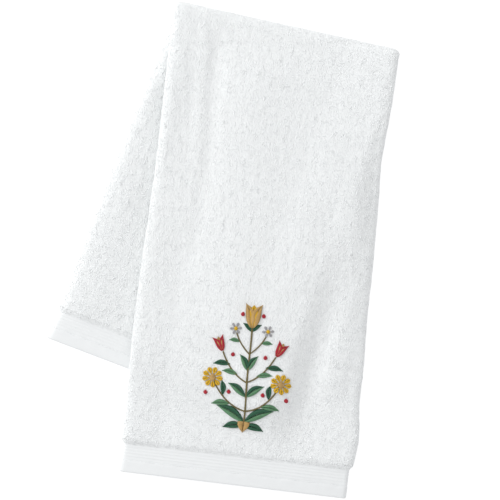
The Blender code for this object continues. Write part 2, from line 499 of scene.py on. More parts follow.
    def carried_height(self, x: Array, y: Array) -> Array:
        """How high the back half carries the front half.

        Args:
            x: Places in plan, sideways.
            y: Places in plan, along the front half.

        Returns:
            The height under the front half at each place.
        """
        tilt, lean = math.tan(self.slant), BACK.lean
        back_distance = -(x * tilt + y) / (math.sin(lean) * tilt + math.cos(lean))
        back_place = x + back_distance * math.sin(lean)
        side = self.panel_half - back_place
        hem = BACK.length + back_place * (math.sin(lean) - tilt * math.cos(lean)) - back_distance
        carried = smooth((side + self.side_shelf) / self.side_drape + 1)
        carried = carried * smooth((hem + self.hem_drape) / (self.hem_drape + self.hem_climb))
        from_left = smooth((self.panel_half + back_place - self.sag_from) / self.sag_over)
        from_right = smooth((side - self.sag_from) / self.sag_over)
        return carried * (self.lift - self.sag * from_left * from_right)

    def runs(self, u: Array, v: Array) -> tuple[Array, Array, Array, Array]:
        """How far the cloth at each place has gone through the crossing fold.

        Args:
            u: Places across the flat cloth.
            v: Places along it.

        Returns:
            The sideways place in the strip, the turn round the crease from 0 to pi, and the distances to
            the crease in the front half and in the back half.
        """
        tilt, lean = math.tan(self.slant), BACK.lean
        inner_place, side_reach, _, _ = self.section(u, self.thickness(v))
        place = inner_place + side_reach
        front_run = FRONT.length - place * tilt
        back_run = BACK.length + place * (math.sin(lean) - tilt * math.cos(lean))
        run = v / self.length * (front_run + self.turn_length + back_run)
        turn = math.pi * np.clip((run - front_run) / self.turn_length, 0.0, 1.0)
        front = np.clip(front_run - run, 0.0, None)
        back = np.clip(run - front_run - self.turn_length, 0.0, None)
        return place, turn, front, back

    def middle(self, u: Array, v: Array) -> Array:
        """Folds the cloth's middle surface.

        Args:
            u: Places across the flat cloth.
            v: Places along it from the front hem.

        Returns:
            The places in space, one row for each.
        """
        thickness = self.thickness(v)
        _, side_reach, panel, inwards = self.section(u, thickness)
        place, turn, front, back = self.runs(u, v)
        tilt, lean = math.tan(self.slant), BACK.lean

        share = turn / math.pi
        x = self.push_out(place, FRONT, front) * (1 - share) + self.push_out(place, BACK, back) * share
        x = x - back * math.sin(lean)
        y = -place * tilt - front - back * math.cos(lean)
        reach = self.inner_reach + panel * (self.outer_reach - self.inner_reach)
        past = reach * np.sin(turn)
        slide = tilt * (turn + np.sin(turn)) + math.tan(lean - self.slant) * (turn - np.sin(turn))
        slide = -reach * slide / 2
        x = x + past * math.sin(self.slant) + slide * math.cos(self.slant)
        y = y + past * math.cos(self.slant) - slide * math.sin(self.slant)

        front_space = self.layer_space(u, inwards, FRONT, front, thickness)
        back_space = self.layer_space(u, inwards, BACK, back, thickness)
        fullness = thickness / self.pile_thickness
        front_relief = sum(crease.rise(place, front) for crease in CREASES + FRONT_SWELLS) * fullness
        back_relief = sum(crease.rise(place, back) for crease in BACK_SWELLS) * fullness
        carried = self.carried_height(x - side_reach, y + side_reach * tilt)
        front_z = carried + thickness / 2 + panel * (front_space + front_relief)
        back_z = thickness / 2 + (1 - panel) * (back_space + back_relief)
        z = back_z + (1 + np.cos(turn)) / 2 * (front_z - back_z)
        return np.stack([x - self.origin[0], y - self.origin[1], z], axis=-1)

    def directions(self, u: Array, v: Array) -> tuple[Array, Array, Array]:
        """The directions of the folded cloth.

        Args:
            u: Places across the flat cloth.
            v: Places along it.

        Returns:
            The directions across it, along it and out of its face, each of length 1.
        """
        step = self.slope_step
        across = self.middle(u + step, v) - self.middle(u - step, v)
        along = self.middle(u, v + step) - self.middle(u, v - step)
        normal = unit(np.cross(across, along))
        across = unit(across)
        return across, np.cross(normal, across), normal

    def place(self, u: Array, v: Array, off: Array) -> Array:
        """The places in space that lie so far off the cloth's middle, on its face's side."""
        return self.middle(u, v) + self.directions(u, v)[2] * np.asarray(off)[..., None]


# ----------------------------------------------------------------------------------------------------
# Finishes
# ----------------------------------------------------------------------------------------------------


def new_material(name: str) -> tuple[bpy.types.Material, bpy.types.NodeTree, bpy.types.NodeSocket]:
    """Makes an empty material.

    Args:
        name: The material's name.

    Returns:
        The material, its node tree and its output's surface socket.
    """
    material = bpy.data.materials.new(name)
    material.use_nodes = True
    material.node_tree.nodes.clear()
    output = add_node(material.node_tree, "ShaderNodeOutputMaterial")
    return material, material.node_tree, output.inputs["Surface"]


@dataclass(frozen=True)
class Cotton:
    """Bleached combed cotton, carded and spun soft: matt, very white, with a faint bloom of loose fibres.

    The fuzz breaks up every highlight, so only its colour and its shadows tell the eye where it turns.
    """

    name: str
    light: str = "#F1F3F3"
    shade: str = "#EDEFF0"
    roughness: float = 0.92
    sheen: float = 0.10
    fuzz_size: float = 0.45 * MM  # real fibres are finer, so the fuzz is drawn about ten times as coarse
    fuzz_height: float = 0.05 * MM
    fuzz_strength: float = 0.5
    cloud_size: float = 9 * MM
    cloud_share: float = 0.6

    def places(self, tree: bpy.types.NodeTree) -> bpy.types.NodeSocket:
        """The places that its pattern follows, in metres: the piece's own."""
        return add_node(tree, "ShaderNodeTexCoord").outputs["Object"]

    def under_fuzz(self, tree: bpy.types.NodeTree, places: bpy.types.NodeSocket) -> dict:
        """The link to a coarser relief under the fuzz, of which a yarn has none."""
        return {}

    def material(self) -> bpy.types.Material:
        """Makes the cotton, with its clouding and its fuzz.

        Returns:
            The material.
        """
        material, tree, output = new_material(self.name)
        places = self.places(tree)
        clouds = add_node(
            tree, "ShaderNodeTexNoise", {"Scale": 1 / self.cloud_size, "Detail": 3.0}, {"Vector": places}
        )
        tone = add_node(tree, "ShaderNodeAttribute", {"attribute_name": "tone"})
        mixed = add_node(
            tree,
            "ShaderNodeMath",
            {"operation": "MULTIPLY_ADD", 1: self.cloud_share, "use_clamp": True},
            {0: clouds.outputs[0], 2: tone.outputs["Fac"]},
        )
        colour = add_node(
            tree,
            "ShaderNodeMix",
            {"data_type": "RGBA", 6: linear(self.shade), 7: linear(self.light)},
            {0: mixed.outputs[0]},
        )
        fuzz = add_node(
            tree, "ShaderNodeTexNoise", {"Scale": 1 / self.fuzz_size, "Detail": 2.0}, {"Vector": places}
        )
        bump = add_node(
            tree,
            "ShaderNodeBump",
            {"Strength": self.fuzz_strength, "Distance": self.fuzz_height},
            {"Height": fuzz.outputs[0], **self.under_fuzz(tree, places)},
        )
        shader = add_node(
            tree,
            "ShaderNodeBsdfPrincipled",
            {
                "Roughness": self.roughness,
                "Metallic": 0.0,
                "IOR": 1.45,
                "Specular IOR Level": 0.2,
                "Sheen Weight": self.sheen,
                "Sheen Roughness": 0.6,
            },
            {"Base Color": colour.outputs[2], "Normal": bump.outputs[0]},
        )
        tree.links.new(shader.outputs[0], output)
        return material


@dataclass(frozen=True)
class ClothCotton(Cotton):
    """Cotton as part of the cloth, so that its pattern follows the cloth through its folds."""

    def places(self, tree: bpy.types.NodeTree) -> bpy.types.NodeSocket:
        """The places that its pattern follows, in metres: those on the flat cloth."""
        return add_node(tree, "ShaderNodeUVMap", {"uv_map": "flat"}).outputs[0]


@dataclass(frozen=True)
class TerryGround(ClothCotton):
    """The cotton ground that the loops grow from, seen between them, and its own pressed pile underneath.

    Where no loops are modelled, as on the face that lies on the surface, low winding curls stand for them.
    """

    shade: str = "#EDEFEF"
    curl_size: float = 1.9 * MM
    curl_height: float = 0.28 * MM
    curl_winding: float = 0.8
    curl_steepness: float = 5.0

    def under_fuzz(self, tree: bpy.types.NodeTree, places: bpy.types.NodeSocket) -> dict:
        """Raises winding curls, which follow the middle values of a distorted noise.

        Args:
            tree: The material's node tree.
            places: Places on the flat cloth.

        Returns:
            The link to them.
        """
        winding = add_node(
            tree,
            "ShaderNodeTexNoise",
            {"Scale": 1 / self.curl_size, "Detail": 1.0, "Distortion": self.curl_winding},
            {"Vector": places},
        )
        from_ridge = add_node(
            tree, "ShaderNodeMath", {"operation": "SUBTRACT", 1: 0.5}, {0: winding.outputs[0]}
        )
        ridge = add_node(tree, "ShaderNodeMath", {"operation": "ABSOLUTE"}, {0: from_ridge.outputs[0]})
        curls = add_node(
            tree, "ShaderNodeMath", {"operation": "MULTIPLY", 1: self.curl_steepness}, {0: ridge.outputs[0]}
        )
        raised = add_node(
            tree,
            "ShaderNodeBump",
            {"invert": True, "Strength": 1.0, "Distance": self.curl_height},
            {"Height": curls.outputs[0]},
        )
        return {"Normal": raised.outputs[0]}


@dataclass(frozen=True)
class WovenBorder(ClothCotton):
    """The flat woven end border: the same cotton in plain weave, closer and so smoother than the pile.

    Its weft cords lie side by side across the towel and give it a faint grain, with the warp across them.
    """

    light: str = "#EBEDED"
    shade: str = "#E5E7E8"
    cord_pitch: float = 0.7 * MM  # two picks of the real weft, because one alone is too fine to show
    warp_pitch: float = 0.9 * MM
    warp_share: float = 0.5
    cord_height: float = 0.06 * MM
    cord_strength: float = 0.6
    cord_unevenness: float = 0.6

    def under_fuzz(self, tree: bpy.types.NodeTree, places: bpy.types.NodeSocket) -> dict:
        """Raises the grain of its weft and warp.

        Args:
            tree: The material's node tree.
            places: Places on the flat cloth.

        Returns:
            The link to it.
        """
        weft, warp = (
            add_node(
                tree,
                "ShaderNodeTexWave",
                {
                    "bands_direction": direction,
                    "Scale": math.pi / (10 * pitch),
                    "Distortion": self.cord_unevenness,
                    "Detail": 1.0,
                },
                {"Vector": places},
            )
            for direction, pitch in (("Y", self.cord_pitch), ("X", self.warp_pitch))
        )
        woven = add_node(
            tree,
            "ShaderNodeMath",
            {"operation": "MULTIPLY_ADD", 1: self.warp_share},
            {0: warp.outputs[1], 2: weft.outputs[1]},
        )
        raised = add_node(
            tree,
            "ShaderNodeBump",
            {"Strength": self.cord_strength, "Distance": self.cord_height},
            {"Height": woven.outputs[0]},
        )
        return {"Normal": raised.outputs[0]}


@dataclass(frozen=True)
class SpunThread:
    """Trilobal polyester embroidery thread of two twisted plies: dyed deep, it shines along each stitch."""

    name: str
    colour: str
    roughness: float = 0.38
    twist_pitch: float = 0.8 * MM
    twist_height: float = 0.05 * MM
    twist_strength: float = 0.4
    depth: float = 0.72  # the deep side of its colour, as a share of the colour

    def material(self) -> bpy.types.Material:
        """Makes the thread, patterned along each stitch.

        Returns:
            The material.
        """
        material, tree, output = new_material(self.name)
        along = add_node(tree, "ShaderNodeUVMap", {"uv_map": "flat"}).outputs[0]
        tone = add_node(tree, "ShaderNodeAttribute", {"attribute_name": "tone"})
        red, green, blue, _ = linear(self.colour)
        deep = (red * self.depth, green * self.depth, blue * self.depth, 1.0)
        colour = add_node(
            tree,
            "ShaderNodeMix",
            {"data_type": "RGBA", 6: deep, 7: (red, green, blue, 1.0)},
            {0: tone.outputs["Fac"]},
        )
        twist = add_node(
            tree,
            "ShaderNodeTexWave",
            {"bands_direction": "DIAGONAL", "Scale": math.pi / (5 * self.twist_pitch)},
            {"Vector": along},
        )
        bump = add_node(
            tree,
            "ShaderNodeBump",
            {"Strength": self.twist_strength, "Distance": self.twist_height},
            {"Height": twist.outputs[1]},
        )
        shader = add_node(
            tree,
            "ShaderNodeBsdfPrincipled",
            {
                "Roughness": self.roughness,
                "Metallic": 0.0,
                "IOR": 1.5,
                "Specular IOR Level": 0.5,
                "Sheen Weight": 0.1,
            },
            {"Base Color": colour.outputs[2], "Normal": bump.outputs[0]},
        )
        tree.links.new(shader.outputs[0], output)
        return material


# ----------------------------------------------------------------------------------------------------
# Shapes that repeat
# ----------------------------------------------------------------------------------------------------


@dataclass
class Shape:
    """A small shape that is modelled once, and then copied many times into one mesh."""

    points: Array
    corners: Array
    starts: Array

    @classmethod
    def taken_from(cls, model: bpy.types.Object) -> "Shape":
        """Reads a modelled shape, and removes its object.

        Args:
            model: The object that it was modelled as.

        Returns:
            The shape.
        """
        # The operators leave the faces in no fixed order, so they are sorted to come out alike each run.
        faces = sorted(tuple(face.vertices) for face in model.data.polygons)
        shape = cls(
            points=values_of(model.data.vertices, "co", 3),
            corners=np.concatenate(faces),
            starts=np.cumsum([0] + [len(face) for face in faces[:-1]]),
        )
        bpy.data.objects.remove(model)
        return shape

    def copied(self, name: str, places: Array, tones: Array, flat: Array) -> bpy.types.Object:
        """Joins one copy of the shape for each set of places.

        Args:
            name: The piece's name.
            places: For each copy, the places in space of the shape's points.
            tones: Each copy's tone, from 0 to 1.
            flat: For each copy, its points' places in the piece's own pattern.

        Returns:
            The piece.
        """
        copies, count = places.shape[:2]
        first = np.arange(copies)[:, None]
        corners = (self.corners[None, :] + first * count).ravel()
        starts = (self.starts[None, :] + first * len(self.corners)).ravel()
        mesh = bpy.data.meshes.new(name)
        mesh.vertices.add(copies * count)
        mesh.vertices.foreach_set("co", places.ravel())
        mesh.loops.add(len(corners))
        mesh.loops.foreach_set("vertex_index", corners)
        mesh.polygons.add(len(starts))
        mesh.polygons.foreach_set("loop_start", starts)
        mesh.update(calc_edges=True)
        mark(mesh, np.repeat(tones, count), flat.reshape(-1, 2))
        mesh.shade_smooth()
        piece = bpy.data.objects.new(name, mesh)
        keep_together(piece)
        return piece


def dress(piece: bpy.types.Object, material: bpy.types.Material) -> bpy.types.Object:
    """Gives a piece its material and its body, and reports it.

    Args:
        piece: The finished piece.
        material: Its material.

    Returns:
        The same piece.
    """
    piece.data.materials.append(material)
    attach(piece, BODY)
    report(piece)
    return piece


# ----------------------------------------------------------------------------------------------------
# The cloth
# ----------------------------------------------------------------------------------------------------


@dataclass
class Border:
    """The relief of a flat woven border and the turned, stitched hem at its end."""

    turned: float = 0.0102
    turned_rise: float = 0.00025
    seam_groove: float = 0.00022
    seam_width: float = 0.0008
    rib_start: float = 0.0118
    rib_end: float = 0.0232
    rib_pitch: float = 0.0026
    rib_height: float = 0.00016
    edge_round: float = 0.0013
    edge_cut: float = 0.97  # how far into its rounding the end stops, as a share
    puckers: Clouds = Clouds(0.0085, seed=21)
    pucker_height: float = 0.00012
    pucker_reach: float = 0.0035
    pucker_run: float = 0.3  # how fast they change along the cloth, because they run through the seam

    def relief(self, u: Array, from_hem: Array) -> Array:
        """How far the border's face stands out.

        Args:
            u: Places across the cloth.
            from_hem: Distances from its end.

        Returns:
            The height at each place.
        """
        turned = self.turned_rise * smooth((self.turned - from_hem) / self.seam_width + 0.5)
        groove = -self.seam_groove * np.exp(-(((from_hem - self.turned) / self.seam_width) ** 2))
        ribbed = smooth((from_hem - self.rib_start) / self.seam_width)
        ribbed = ribbed * smooth((self.rib_end - from_hem) / self.seam_width)
        ribs = self.rib_height * ribbed * np.cos(2 * math.pi * (from_hem - self.rib_start) / self.rib_pitch)
        near_seam = np.exp(-(((from_hem - self.turned) / self.pucker_reach) ** 2))
        pucker = self.puckers.at(u, from_hem * self.pucker_run) * self.pucker_height * near_seam
        return turned + groove + ribs + pucker

    def edge(self, from_hem: Array) -> Array:
        """The share of its thickness that the cloth keeps as its folded end rounds off."""
        return np.sqrt(1 - np.clip(1 - from_hem / self.edge_round, 0.0, self.edge_cut) ** 2)


@dataclass
class TowelCloth:
    """The towel's one piece of cloth, as a closed sheet on its folds."""

    fold: Fold
    border: Border = field(default_factory=Border)
    flap_pitch: float = 0.0036
    turn_pitch: float = 0.0014
    panel_pitch: float = 0.0030
    border_pitch: float = 0.00066
    pile_pitch: float = 0.0034
    crease_pitch: float = 0.0012
    edge_rows: tuple[float, ...] = (0.0, 0.15, 0.5, 1.0)  # as shares of the rounding of its ends
    pile_ground: float = 0.0010
    lump_height: float = 0.00010
    lumps: Clouds = Clouds(0.0068, seed=5, drawn_out=PILE_DRAWN_OUT)
    shown_from: float = -0.8
    shown_over: float = 0.3
    tone: float = 0.2
    sharpest: float = math.radians(60)

    def shown(self, normal: Array, side: Array) -> Array:
        """1 where the cloth's face can be seen and its loops stand, and 0 on its back and underneath."""
        return np.where(side > 0, smooth((normal[..., 2] - self.shown_from) / self.shown_over), 0.0)

    def ground(self, v: Array) -> Array:
        """How far off the cloth's middle its loops stand."""
        woven = self.fold.hem_thickness / 2
        return woven + (self.pile_ground - woven) * self.fold.pile_share(v)

    def rows(self) -> Array:
        """Spreads the sheet's rows, closest in its borders and round its crease.

        Returns:
            Their places along the cloth.
        """
        fold, one_cell = self.fold, math.inf
        crease_start, crease_end = fold.crease_rows()
        slanting = (fold.panel_half + fold.side_turn) * math.tan(fold.slant)
        crease = (crease_start - slanting, crease_end + slanting)
        hem = tuple(self.border.edge_round * share for share in self.edge_rows)
        hem += (fold.hem_depth, fold.hem_depth + fold.hem_blend)
        hem_pitches = (one_cell,) * (len(self.edge_rows) - 1) + (self.border_pitch, 2 * self.border_pitch)
        ends = hem + crease + tuple(fold.length - place for place in reversed(hem))
        pitches = hem_pitches + (self.pile_pitch, self.crease_pitch, self.pile_pitch) + hem_pitches[::-1]
        return places_between(ends, pitches)

    def cut(self) -> bpy.types.Object:
        """Cuts the cloth, closest in its columns where its sides turn.

        Returns:
            The cloth lying flat, with its thickness, and its places across and along as X and Y.
        """
        columns = self.fold.columns(self.panel_pitch, self.turn_pitch, self.flap_pitch)
        rows = self.rows()
        nothing_selected()
        bpy.ops.mesh.primitive_grid_add(
            x_subdivisions=len(columns) - 1, y_subdivisions=len(rows) - 1, size=2.0
        )
        cloth = bpy.context.object
        cloth.name = cloth.data.name = "towel_cloth"
        places = values_of(cloth.data.vertices, "co", 3)
        column = np.rint((places[:, 0] + 1) / 2 * (len(columns) - 1)).astype(int)
        row = np.rint((places[:, 1] + 1) / 2 * (len(rows) - 1)).astype(int)
        flat = np.stack([columns[column], rows[row], np.zeros(len(places))], axis=-1)
        cloth.data.vertices.foreach_set("co", flat.ravel())
        wall = cloth.modifiers.new("thickness", "SOLIDIFY")
        wall.thickness = self.fold.pile_thickness
        wall.offset = 0.0
        bpy.ops.object.modifier_apply(modifier=wall.name)
        return cloth

    def off_middle(self, u: Array, v: Array, side: Array, normal: Array) -> Array:
        """How far a face of the cloth lies from its middle.

        Args:
            u: Places across the cloth.
            v: Places along it.
            side: 1 on its face and -1 on its back.
            normal: The direction out of its face at each place.

        Returns:
            The distance, which is negative on the back.
        """
        shown = self.shown(normal, side)
        pile = self.fold.pile_share(v)
        from_hem = self.fold.from_hem(v)
        thick = self.fold.thickness(v) / 2 * (1 - shown) + self.ground(v) * shown
        lumps = self.lump_height * self.lumps.at(u, v) * pile
        relief = self.border.relief(u, from_hem) * (1 - pile)
        return side * (thick + (lumps + relief) * shown) * self.border.edge(from_hem)

    def build(self, pile: Cotton, border: Cotton) -> bpy.types.Object:
        """Cuts, folds and dresses the cloth.

        Args:
            pile: The finish of its ground between the borders.
            border: The finish of its two woven borders.

        Returns:
            The sheet.
        """
        cloth = self.cut()
        mesh = cloth.data
        u, v, height = values_of(mesh.vertices, "co", 3).T
        side = np.sign(height)
        normal = self.fold.directions(u, v)[2]
        places = self.fold.middle(u, v) + normal * self.off_middle(u, v, side, normal)[:, None]
        places[:, 2] = np.maximum(places[:, 2], 0.0)
        mesh.vertices.foreach_set("co", places.ravel())
        while mesh.uv_layers:
            mesh.uv_layers.remove(mesh.uv_layers[0])
        mark(mesh, np.full(len(u), self.tone), np.stack([u, v], axis=-1))
        mesh.materials.append(pile.material())
        mesh.materials.append(border.material())
        face_rows = np.array([v[face.vertices[0]] + v[face.vertices[2]] for face in mesh.polygons]) / 2
        in_border = self.fold.from_hem(face_rows) < self.fold.hem_depth
        mesh.polygons.foreach_set("material_index", in_border.astype(int))
        mesh.update()
        bpy.ops.object.shade_smooth_by_angle(angle=self.sharpest)
        keep_together(cloth)
        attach(cloth, BODY)
        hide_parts("towel")
        report(cloth)
        return cloth


@dataclass
class Pile:
    """The terry's loops, standing on the cloth's face wherever it can be seen."""

    cloth: TowelCloth
    # One loop
    yarn_radius: float = 0.00049
    ring_radius: float = 0.00086
    arch: float = math.radians(180)
    stretch: float = 0.47
    # Their rows
    pitch: float = 0.00131
    turn_pitch: float = 0.00117
    crease_pitch: float = 0.00113
    first_row: float = 0.0005
    scatter: float = 0.46
    covered_from: float = 0.006  # how far in from its sides one half hides the other
    inner_turn: float = 0.6 * math.pi
    # How they stand
    sunk: float = 0.00030
    smallest: float = 0.80
    largest: float = 1.20
    lie_spread: float = 0.65
    lean: float = 0.20
    brushed: float = 0.16
    least_bow: float = 0.3
    most_bow: float = 1.0
    tuft_size: float = 0.0062
    tuft_height: float = 0.08
    edge_height: float = 0.42
    edge_fades: float = 1.15
    off_floor: float = 0.0001
    tones: Point = (0.0, 0.6)
    # Round the embroidery
    clear_of_thread: float = 0.0009
    pressed_near_thread: float = 0.0022
    pressed_height: float = 0.72

    most_in_a_piece: int = 14200
    seed: int = 11

    def loop(self) -> Shape:
        """Models one loop: a yarn spun over from foot to foot, closed at its feet.

        Returns:
            The loop's shape.
        """
        nothing_selected()
        bpy.ops.mesh.primitive_circle_add(
            vertices=3,
            radius=self.yarn_radius,
            fill_type="NGON",
            location=(self.ring_radius, 0.0, 0.0),
            rotation=(0.0, 0.0, -math.pi / 2),
        )
        model = bpy.context.object
        bpy.ops.object.transform_apply(location=True, rotation=True)
        bpy.ops.object.mode_set(mode="EDIT")
        rest = (math.pi - self.arch) / 2
        bpy.ops.transform.rotate(value=rest, orient_axis="Y", center_override=(0.0, 0.0, 0.0))
        bpy.ops.mesh.spin(steps=2, angle=self.arch, center=(0.0, 0.0, 0.0), axis=(0.0, 1.0, 0.0))
        bpy.ops.mesh.select_all(action="SELECT")
        bpy.ops.mesh.normals_make_consistent(inside=False)
        bpy.ops.transform.resize(value=(1.0, 1.0, self.stretch), center_override=(0.0, 0.0, 0.0))
        bpy.ops.object.mode_set(mode="OBJECT")
        return Shape.taken_from(model)

    def grid(self) -> tuple[Array, Array]:
        """Sets out the loops in rows that the weaving has left a little uneven.

        Returns:
            Their places across and along the flat cloth.
        """
        fold = self.cloth.fold
        first = fold.hem_depth + self.first_row
        ends = (first, *fold.crease_rows(), fold.length - first)
        rows = places_between(ends, (self.pitch, self.crease_pitch, self.pitch))
        u, v = np.meshgrid(fold.columns(self.pitch, self.turn_pitch, self.pitch), rows)
        rng = np.random.default_rng(self.seed)
        u = u + rng.uniform(-self.scatter, self.scatter, u.shape) * self.pitch
        v = v + rng.uniform(-self.scatter, self.scatter, v.shape) * self.pitch
        inside = np.abs(u) < fold.width / 2 - self.pitch
        border = fold.hem_depth + self.first_row / 2
        return u[inside], np.clip(v[inside], border, fold.length - border)

    def standing(self, u: Array, v: Array, normal: Array) -> Array:
        """Tells which loops can be seen: not those underneath, nor those between the two halves.

        Args:
            u: The loops' places across the cloth.
            v: The loops' places along it.
            normal: The direction out of the cloth's face at each.

        Returns:
            True for each loop that can be seen.
        """
        fold = self.cloth.fold
        place, turn, _, back = fold.runs(u, v)
        _, _, panel, _ = fold.section(u, fold.thickness(v))
        x = place - back * math.sin(BACK.lean)
        covered = np.abs(x) < fold.panel_half - self.covered_from
        inner = (panel < 0.5) | (turn > self.inner_turn)
        return (normal[:, 2] > UNSEEN_BELOW) & ~(covered & inner)

    def thread_distance(self, u: Array, v: Array, stitches: Array) -> Array:
        """How far each loop is from the nearest stitch, or 1 where none is near.

        Args:
            u: The loops' places across the cloth.
            v: The loops' places along it.
            stitches: A row for each stitch, with the places across and along of both its ends.

        Returns:
            One distance for each loop.
        """
        distance = np.ones(len(u))
        reach = self.pressed_near_thread
        low = np.minimum(stitches[:, :2], stitches[:, 2:]).min(axis=0) - reach
        high = np.maximum(stitches[:, :2], stitches[:, 2:]).max(axis=0) + reach
        near = np.nonzero((u > low[0]) & (u < high[0]) & (v > low[1]) & (v < high[1]))[0]
        point = np.stack([u[near], v[near]], axis=-1)[:, None, :]
        start, end = stitches[None, :, :2], stitches[None, :, 2:]
        span = end - start
        share = np.clip(((point - start) * span).sum(axis=-1) / (span**2).sum(axis=-1), 0.0, 1.0)
        distance[near] = np.linalg.norm(start + share[..., None] * span - point, axis=-1).min(axis=1)
        return distance

    def tufts(self, u: Array, v: Array, seed: int) -> Array:
        """The pile's soft unevenness from tuft to tuft."""
        return Clouds(self.tuft_size, seed, PILE_DRAWN_OUT).at(u, v)

    def build(self, yarn: Cotton, stitches: Array) -> list[bpy.types.Object]:
        """Stands the loops on the cloth.

        Args:
            yarn: The loops' finish.
            stitches: The embroidery's stitches, which the loops make way for.

        Returns:
            The pieces of pile, from the front hem on.
        """
        cloth, fold = self.cloth, self.cloth.fold
        u, v = self.grid()
        across, along, normal = fold.directions(u, v)
        keep = self.standing(u, v, normal)
        distance = self.thread_distance(u, v, stitches)
        keep &= distance > self.clear_of_thread
        u, v, across, along, normal, distance = (a[keep] for a in (u, v, across, along, normal, distance))

        rng = np.random.default_rng(self.seed + 1)
        count = len(u)
        fanned = fold.runs(u, v)[1] / math.pi * BACK.lean
        azimuth = PILE_LIE + fanned + rng.normal(0, self.lie_spread, count)
        size = rng.uniform(self.smallest, self.largest, count)
        pressed = smooth(distance / self.pressed_near_thread)
        height = size * (1 + self.tuft_height * self.tufts(u, v, seed=6))
        height *= self.pressed_height + (1 - self.pressed_height) * pressed
        height *= self.edge_height + (1 - self.edge_height) * smooth(self.edge_fades * normal[:, 2])
        lean = self.lean * rng.normal(0, 1, (2, count))
        lean[0] += self.brushed * self.tufts(u, v, seed=7)
        lean[1] += self.brushed * self.tufts(u, v, seed=8)
        bow = rng.choice((-1, 1), count) * rng.uniform(self.least_bow, self.most_bow, count)
        lean += bow * np.stack([-np.sin(azimuth), np.cos(azimuth)])
        ground = cloth.ground(v) + cloth.lump_height * cloth.lumps.at(u, v) * fold.pile_share(v)

        shape = self.loop()
        x, y, z = shape.points.T
        up = z[None, :] * height[:, None]
        turned_x = (x * np.cos(azimuth)[:, None] - y * np.sin(azimuth)[:, None]) * size[:, None]
        turned_y = (x * np.sin(azimuth)[:, None] + y * np.cos(azimuth)[:, None]) * size[:, None]
        local_x = turned_x + lean[0][:, None] * up
        local_y = turned_y + lean[1][:, None] * up
        local_z = up + (ground - self.sunk)[:, None]
        places = fold.middle(u, v)[:, None, :] + local_x[..., None] * across[:, None, :]
        places = places + local_y[..., None] * along[:, None, :] + local_z[..., None] * normal[:, None, :]
        places[..., 2] = np.maximum(places[..., 2], self.off_floor)
        tones = rng.uniform(*self.tones, count)
        turn = np.arctan2(z / self.stretch, x) * self.ring_radius
        flat = np.broadcast_to(np.stack([turn, y], axis=-1), (count, len(x), 2))

        material = yarn.material()
        parts = np.array_split(np.argsort(v, kind="stable"), math.ceil(count / self.most_in_a_piece))
        pieces = []
        for number, part in enumerate(parts, start=1):
            piece = shape.copied(f"pile_{number}", places[part], tones[part], flat[part])
            pieces.append(dress(piece, material))
        return pieces


# ----------------------------------------------------------------------------------------------------
# Needlework
# ----------------------------------------------------------------------------------------------------


@dataclass
class Stitching:
    """Lays copies of one stitch on the folded cloth."""

    fold: Fold
    thread_width: float
    thread_height: float
    sides: int = 4
    end_share: float = 0.7  # its ends' thickness
    end_length: float = 0.2  # the share of its length over which each end is drawn in

    def stitch(self) -> Shape:
        """Models one stitch of length 1 along Z: a thread with its ends drawn in, full between them.

        Returns:
            The stitch's shape.
        """
        nothing_selected()
        bpy.ops.mesh.primitive_circle_add(
            vertices=self.sides, radius=0.5 * self.end_share, fill_type="NGON", location=(0.0, 0.0, -0.5)
        )
        model = bpy.context.object
        bpy.ops.object.transform_apply(location=True)
        bpy.ops.object.mode_set(mode="EDIT")
        rises = (self.end_length, 1 - 2 * self.end_length, self.end_length)
        widths = (1 / self.end_share, 1.0, self.end_share)
        for rise, width in zip(rises, widths):
            bpy.ops.mesh.extrude_region_move(TRANSFORM_OT_translate={"value": (0.0, 0.0, rise)})
            bpy.ops.transform.resize(value=(width, width, 1.0))
        bpy.ops.mesh.select_all(action="SELECT")
        bpy.ops.mesh.normals_make_consistent(inside=False)
        bpy.ops.object.mode_set(mode="OBJECT")
        return Shape.taken_from(model)

    def lay(self, name: str, stitches: Array, foot: Array, top: Array, tones: Array) -> bpy.types.Object:
        """Lays the stitches.

        Args:
            name: The piece's name.
            stitches: A row for each stitch, with the places across and along of both its ends.
            foot: How far off the cloth's middle each stitch's ends are.
            top: How far off it the middle of each stitch is.
            tones: Each stitch's tone, from 0 to 1.

        Returns:
            The stitches as one piece.
        """
        shape = self.stitch()
        side, rise, share = shape.points[:, 0], shape.points[:, 1], shape.points[:, 2] + 0.5
        start, span = stitches[:, None, :2], (stitches[:, 2:] - stitches[:, :2])[:, None, :]
        beside = unit(np.stack([-span[..., 1], span[..., 0]], axis=-1))
        flat = start + span * share[None, :, None] + beside * (side * self.thread_width)[None, :, None]
        arch = 1 - (2 * share - 1) ** 4
        off = foot[:, None] + (top - foot)[:, None] * arch[None, :] + rise[None, :] * self.thread_height
        places = self.fold.place(flat[..., 0].ravel(), flat[..., 1].ravel(), off.ravel())
        along = np.linalg.norm(span, axis=-1) * share[None, :]
        pattern = np.stack([along, np.broadcast_to(side * self.thread_width, along.shape)], axis=-1)
        return shape.copied(name, places.reshape(*off.shape, 3), tones, pattern)


